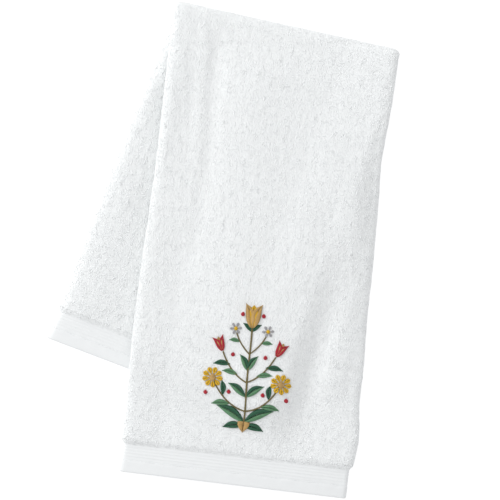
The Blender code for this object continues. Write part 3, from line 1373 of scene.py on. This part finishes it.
@dataclass
class HemStitching:
    """The lines of lockstitch that hold the two turned hems."""

    cloth: TowelCloth
    length: float = 0.0024
    gap: float = 0.0008
    thread: float = 0.00042
    flatness: float = 0.8
    stands: float = 0.6  # how far the middle of a stitch stands above its ends, in threads
    sunk: float = 0.00004
    wander: float = 0.00008
    tones: Point = (0.2, 0.6)
    seed: int = 31

    def build(self, finish: Cotton) -> list[bpy.types.Object]:
        """Sews both hems.

        Args:
            finish: The sewing thread's finish.

        Returns:
            The two lines of stitches.
        """
        fold, border = self.cloth.fold, self.cloth.border
        rng = np.random.default_rng(self.seed)
        material = finish.material()
        sewing = Stitching(fold, self.thread, self.thread * self.flatness)
        first, last = -fold.width / 2 + self.length, fold.width / 2 - 2 * self.length
        starts = np.arange(first, last, self.length + self.gap)
        lines = {"hem_stitching_front": border.turned, "hem_stitching_back": fold.length - border.turned}
        pieces = []
        for name, v in lines.items():
            wander = rng.normal(0, self.wander, (2, len(starts)))
            stitches = np.stack([starts, v + wander[0], starts + self.length, v + wander[1]], axis=-1)
            facing = fold.directions(starts, np.full(len(starts), v))[2][:, 2]
            stitches = stitches[facing > UNSEEN_BELOW]
            foot = np.full(len(stitches), fold.hem_thickness / 2 - border.seam_groove / 2 - self.sunk)
            top = foot + self.thread * self.stands
            piece = sewing.lay(name, stitches, foot, top, rng.uniform(*self.tones, len(stitches)))
            pieces.append(dress(piece, material))
        return pieces


class Colour(Enum):
    """The embroidery's threads."""

    DEEP_GREEN = "#1E5B3E"
    LEAF_GREEN = "#5F9068"
    STEM = "#75683A"
    GOLD = "#C6A162"
    YELLOW = "#E6B91E"
    RED = "#B5162C"
    SILVER = "#B9B8BB"


@dataclass
class Patch:
    """A field of satin stitches between two edges, in millimetres on the motif, set side by side."""

    colour: Colour
    first: Array
    second: Array
    raised: float = 0.0

    def stitches(self, pitch: float) -> Array:
        """Sets out its stitches.

        Args:
            pitch: The space between two stitches, in millimetres.

        Returns:
            A row for each stitch, with both its ends.
        """
        middle = (self.first + self.second) / 2
        steps = np.linalg.norm(np.diff(middle, axis=0), axis=1)
        run = np.concatenate([[0.0], np.cumsum(steps)])
        count = max(2, round(run[-1] / pitch))
        at = (np.arange(count) + 0.5) / count * run[-1]
        ends = [np.interp(at, run, edge[:, axis]) for edge in (self.first, self.second) for axis in (0, 1)]
        return np.stack(ends, axis=-1)


@dataclass
class Motif:
    """Works out satin patches for the sprig's forms, in millimetres, with angles from straight up."""

    patches: list[Patch] = field(default_factory=list)
    steps: int = 60
    blade_slant: float = 0.55  # how far its stitches reach to the tip, in half widths
    disc_span: Point = (0.02, 0.98)  # its first and last stitch, as shares of its height
    disc_fullest: float = 0.85
    disc_roundness: float = 0.6

    def axes(self, angle: float) -> tuple[Array, Array]:
        """The directions along and across a form that points at an angle to the right of straight up."""
        turn = math.radians(angle)
        return np.array([math.sin(turn), math.cos(turn)]), np.array([math.cos(turn), -math.sin(turn)])

    def blade(
        self,
        at: Point,
        angle: float,
        length: float,
        width: float,
        colours: tuple[Colour, Colour],
        bend: float,
        raised: float,
        fullest: float = 0.75,
    ) -> None:
        """Works a pointed leaf or petal, in two halves whose stitches slant from its rib to its tip.

        Args:
            at: Its foot.
            angle: Where it points.
            length: Its length.
            width: Its width.
            colours: The thread of its left half and of its right half.
            bend: How far its rib bends to the right, as a share of its length.
            raised: How far it stands up.
            fullest: Where it is broadest: below 1 nearer its foot, above 1 nearer its tip.
        """
        along, across = self.axes(angle)
        t = np.linspace(0.0, 1.0, self.steps)[:, None]
        rib = np.array(at) + along * length * t + across * bend * length * np.sin(math.pi * t)
        half = width / 2 * np.sin(math.pi * t**fullest)
        for side, colour in zip((-1, 1), colours):
            edge = rib + across * side * half + along * half * self.blade_slant
            self.patches.append(Patch(colour, rib, edge, raised))

    def disc(self, at: Point, radius: float, colour: Colour, raised: float) -> None:
        """Works a round spot, whose stitches run straight across it.

        Args:
            at: Its middle.
            radius: Its radius.
            colour: Its thread.
            raised: How far it stands up.
        """
        along, across = self.axes(0.0)
        t = np.linspace(*self.disc_span, self.steps)[:, None]
        middle = np.array(at) - along * radius + along * 2 * radius * t
        half = radius * np.sin(math.pi * t**self.disc_fullest) ** self.disc_roundness
        self.patches.append(Patch(colour, middle - across * half, middle + across * half, raised))

    def stem(self, points: Sequence[Point], width: float) -> None:
        """Works a stem in slanting stitches.

        Args:
            points: Three points that its bent line runs through.
            width: Its width.
        """
        start, through, end = (np.array(point, float) for point in points)
        t = np.linspace(0.0, 1.0, self.steps)[:, None]
        bend = 2 * through - (start + end) / 2
        line = start * (1 - t) ** 2 + bend * 2 * t * (1 - t) + end * t**2
        heading = unit(np.gradient(line, axis=0))
        beside = np.stack([heading[:, 1], -heading[:, 0]], axis=-1) * width / 2
        slant = heading * width / 2
        self.patches.append(Patch(Colour.STEM, line - beside - slant, line + beside + slant))

    def daisy(self, at: Point, radius: float, petals: int, colour: Colour, heart: Colour) -> None:
        """Works an open round flower with narrow petals and a raised heart.

        Args:
            at: Its middle.
            radius: Its radius.
            petals: How many petals it has.
            colour: Their thread.
            heart: Its heart's thread.
        """
        first, inner, narrow = 0.35, 0.28, 0.46  # the first petal's turn, and its start and width in radii
        for number in range(petals):
            angle = 360 / petals * (number + first)
            foot = np.array(at) + self.axes(angle)[0] * radius * inner
            length, width = radius * (1 - inner), radius * narrow
            pair = (colour, colour)
            self.blade(tuple(foot), angle, length, width, pair, bend=0.0, raised=0.25, fullest=1.1)
        self.disc(at, radius * 0.33, heart, raised=0.6)

    def tulip(
        self, at: Point, angle: float, length: float, width: float, colour: Colour, heart: Colour
    ) -> None:
        """Works a cup of two side petals round a middle one.

        Args:
            at: Its foot.
            angle: Where it points.
            length: Its side petals' length.
            width: About the width of the cup.
            colour: The side petals' thread.
            heart: The middle petal's thread.
        """
        short, broad, narrow = 0.92, 0.5, 0.46  # the middle petal's length and width, a side petal's width
        apart, opened, bend = 0.05, 17, 0.10  # how the side petals' feet, tips and ribs stand out
        pair = (heart, heart)
        self.blade(at, angle, length * short, width * broad, pair, bend=0.0, raised=0.2, fullest=0.9)
        pair = (colour, colour)
        for side in (-1, 1):
            foot = tuple(np.array(at) + self.axes(angle)[1] * side * width * apart)
            leaning = angle + side * opened
            self.blade(foot, leaning, length, width * narrow, pair, -side * bend, raised=0.45, fullest=0.7)

    def small_heart(self, at: Point, size: float, colour: Colour) -> None:
        """Works a small heart that stands on its point, by the usual heart curve.

        Args:
            at: Its point.
            size: Its height.
            colour: Its thread.
        """
        t = np.linspace(0.0, math.pi, self.steps)[:, None]
        y = size * (0.45 * np.cos(t) - 0.20 * np.cos(2 * t) - 0.06 * np.cos(3 * t) + 0.5)
        for side in (-1, 1):
            x = side * size * 0.5 * np.sin(t) ** 3 * 1.15
            edge = np.array(at) + np.concatenate([x, y], axis=1)
            rib = np.array(at) + np.concatenate([x * 0.0, y], axis=1)
            self.patches.append(Patch(colour, rib[::-1], edge[::-1], raised=0.2))


@dataclass
class Sprig:
    """The embroidered sprig on the front panel, the same on both sides of its stem."""

    cloth: TowelCloth
    middle: float = 0.0012
    bottom: float = 0.048
    stitch_pitch: float = 0.45  # in millimetres, for stitches side by side
    thread_width: float = 0.00054
    thread_height: float = 0.00036
    sunk: float = 0.0001
    shortest: float = 0.0004
    no_length: float = 1e-6
    least_fullness: float = 0.0003
    fullness: float = 0.0013
    slope: float = 0.36
    leaf_bend: float = 0.08
    tones: Point = (0.25, 1.0)
    seed: int = 41

    def motif(self) -> Motif:
        """Draws the sprig, from the heart at its foot to the tulip at its head.

        Returns:
            The motif with its patches.
        """
        motif = Motif()
        green = (Colour.DEEP_GREEN, Colour.LEAF_GREEN)
        deep = (Colour.DEEP_GREEN, Colour.DEEP_GREEN)
        light = (Colour.LEAF_GREEN, Colour.LEAF_GREEN)
        # For each leaf on the right: its foot, where it points, its length, its width and its two threads
        leaves = (
            ((0, 7), 64, 26, 8.4, green),
            ((0, 4), 102, 17, 6.4, deep),
            ((13, 21), 96, 15, 5.2, light),
            ((19, 28), 8, 12, 4.8, deep),
            ((0, 28), 56, 18, 6.4, green),
            ((8, 46), 82, 13, 4.6, light),
            ((15, 54), 94, 14, 4.8, deep),
            ((0, 50), 30, 15, 5.6, green),
            ((9, 74), 88, 9, 3.6, light),
            ((0, 83), 50, 10, 3.8, deep),
        )
        berries = ((14.2, 31.0), (33.5, 28.5), (13.5, 62.5), (8.8, 97.0))
        motif.stem([(0, 8), (0.4, 46), (0, 86)], 1.5)
        for side in (-1, 1):
            motif.stem([(0, 16), (side * 15, 23), (side * 27, 38)], 1.2)
            motif.stem([(0, 40), (side * 12.5, 49), (side * 22, 64)], 1.2)
            motif.stem([(0, 64), (side * 7.5, 72), (side * 12.5, 81)], 1.1)
            for (x, y), angle, length, width, colours in leaves:
                pair = colours if side > 0 else colours[::-1]
                bend = -side * self.leaf_bend
                motif.blade((side * x, y), side * angle, length, width, pair, bend, raised=0.1)
            motif.daisy((side * 28.5, 41.5), 8.6, 9, Colour.YELLOW, Colour.GOLD)
            motif.tulip((side * 22.5, 64.5), side * 24, 13.5, 11.0, Colour.RED, Colour.GOLD)
            motif.daisy((side * 13.5, 84.5), 5.0, 6, Colour.SILVER, Colour.YELLOW)
            for x, y in berries:
                motif.disc((side * x, y), 1.8, Colour.RED, raised=0.1)
        motif.small_heart((0, -1.5), 10.0, Colour.GOLD)
        motif.tulip((0, 86), 0, 21.0, 19.0, Colour.GOLD, Colour.YELLOW)
        return motif

    def build(self) -> tuple[list[bpy.types.Object], Array]:
        """Embroiders the sprig.

        Returns:
            A piece for each colour of thread, and all the stitches, a row for each with both its ends.
        """
        rng = np.random.default_rng(self.seed)
        ground = float(self.cloth.ground(np.array(self.bottom))) - self.sunk
        sewing = Stitching(self.cloth.fold, self.thread_width, self.thread_height)
        by_colour: dict[Colour, list[tuple[Array, float]]] = {}
        for patch in self.motif().patches:
            rows = patch.stitches(self.stitch_pitch) * MM + [self.middle, self.bottom] * 2
            by_colour.setdefault(patch.colour, []).append((rows, patch.raised * MM))
        pieces, every = [], []
        for colour, fields in by_colour.items():
            rows = np.concatenate([rows for rows, _ in fields])
            raised = np.concatenate([np.full(len(rows), raised) for rows, raised in fields])
            span = rows[:, 2:] - rows[:, :2]
            length = np.linalg.norm(span, axis=1)
            laid = np.maximum(length, self.shortest)
            rows[:, 2:] = rows[:, :2] + span / np.maximum(length, self.no_length)[:, None] * laid[:, None]
            foot = ground + raised
            top = foot + self.least_fullness + np.minimum(self.fullness, self.slope * length)
            name = colour.name.lower()
            tones = rng.uniform(*self.tones, len(rows))
            piece = sewing.lay(f"embroidery_{name}", rows, foot, top, tones)
            finish = SpunThread(f"polyester_thread_{name}", colour.value)
            pieces.append(dress(piece, finish.material()))
            every.append(rows)
        return pieces, np.concatenate(every)


# ----------------------------------------------------------------------------------------------------
# The studio
# ----------------------------------------------------------------------------------------------------


@dataclass(frozen=True)
class Softbox:
    """A large soft light."""

    name: str
    size: float
    watts: float
    place: tuple[float, float, float]
    colour: str = "#FFFFFF"

    def hang(self) -> None:
        """Hangs the light, turned to the towel."""
        light = bpy.data.lights.new(self.name, "AREA")
        light.shape = "SQUARE"
        light.size = self.size
        light.energy = self.watts
        light.color = linear(self.colour)[:3]
        lamp = bpy.data.objects.new(self.name, light)
        lamp.location = self.place
        x, y, z = self.place
        lamp.rotation_euler = (0.0, math.atan2(math.hypot(x, y), z), math.atan2(y, x))
        bpy.context.scene.collection.objects.link(lamp)


@dataclass
class Studio:
    """A white sweep, soft light from the upper left and a camera straight above."""

    turned: float = math.radians(6.9)
    aim: Point = (0.0254, -0.0012)
    frame_width: float = 0.425
    lens: float = 200.0
    sensor: float = 36.0
    floor_size: float = 6.0
    floor_place: float = -0.0004
    floor_colour: str = "#8E8F90"
    floor_glow: float = 0.81
    grain_pitch: float = MM / 0.9
    grain_height: float = 0.0001
    fill: float = 0.775
    fill_colour: str = "#FEFEFF"
    key: Softbox = Softbox("key_softbox", 1.7, 29.0, (-1.60, 0.72, 1.235))

    def camera(self) -> None:
        """Sets the camera straight above, turned as the photographer's was."""
        camera = bpy.data.cameras.new("camera")
        camera.sensor_fit = "HORIZONTAL"
        camera.sensor_width = self.sensor
        camera.lens = self.lens
        holder = bpy.data.objects.new("camera", camera)
        holder.location = (*self.aim, self.frame_width * self.lens / self.sensor)
        holder.rotation_euler = (0.0, 0.0, self.turned)
        bpy.context.scene.collection.objects.link(holder)
        bpy.context.scene.camera = holder

    def floor(self) -> None:
        """Lays a sheet of matt white paper, lit through from below so that it stays pure white."""
        nothing_selected()
        bpy.ops.mesh.primitive_plane_add(size=self.floor_size, location=(0.0, 0.0, self.floor_place))
        sweep = bpy.context.object
        sweep.name = sweep.data.name = "paper_sweep"
        material, tree, output = new_material("matt_white_paper")
        places = add_node(tree, "ShaderNodeTexCoord").outputs["Object"]
        grain = add_node(
            tree, "ShaderNodeTexNoise", {"Scale": 1 / self.grain_pitch, "Detail": 2.0}, {"Vector": places}
        )
        bump = add_node(
            tree,
            "ShaderNodeBump",
            {"Strength": 0.1, "Distance": self.grain_height},
            {"Height": grain.outputs[0]},
        )
        paper = add_node(
            tree,
            "ShaderNodeBsdfPrincipled",
            {
                "Base Color": linear(self.floor_colour),
                "Roughness": 0.9,
                "Specular IOR Level": 0.1,
                "Emission Color": linear("#FFFFFF"),
                "Emission Strength": self.floor_glow,
            },
            {"Normal": bump.outputs[0]},
        )
        tree.links.new(paper.outputs[0], output)
        sweep.data.materials.append(material)

    def world(self) -> None:
        """Fills the room with even white light."""
        world = bpy.data.worlds.new("white_room")
        world.use_nodes = True
        background = world.node_tree.nodes["Background"]
        background.inputs["Color"].default_value = linear(self.fill_colour)
        background.inputs["Strength"].default_value = self.fill
        bpy.context.scene.world = world

    def build(self) -> None:
        """Sets up the camera, the floor and the lights."""
        self.camera()
        self.floor()
        self.world()
        self.key.hang()
        bpy.context.scene.view_settings.view_transform = "Standard"


# ----------------------------------------------------------------------------------------------------


def main() -> None:
    """Builds the towel's pieces in order and sets up the studio."""
    logging.basicConfig(level=logging.INFO, format="%(name)s: %(message)s")
    Studio().build()
    fold = Fold.inside(*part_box("towel"))
    cloth = TowelCloth(fold)
    sheet = cloth.build(TerryGround("terry_ground_cotton"), WovenBorder("plain_woven_cotton"))
    sprig, stitches = Sprig(cloth).build()
    pile = Pile(cloth).build(Cotton("looped_cotton_yarn"), stitches)
    hems = HemStitching(cloth).build(Cotton("white_sewing_cotton", roughness=0.7))


if __name__ == "__main__":
    main()
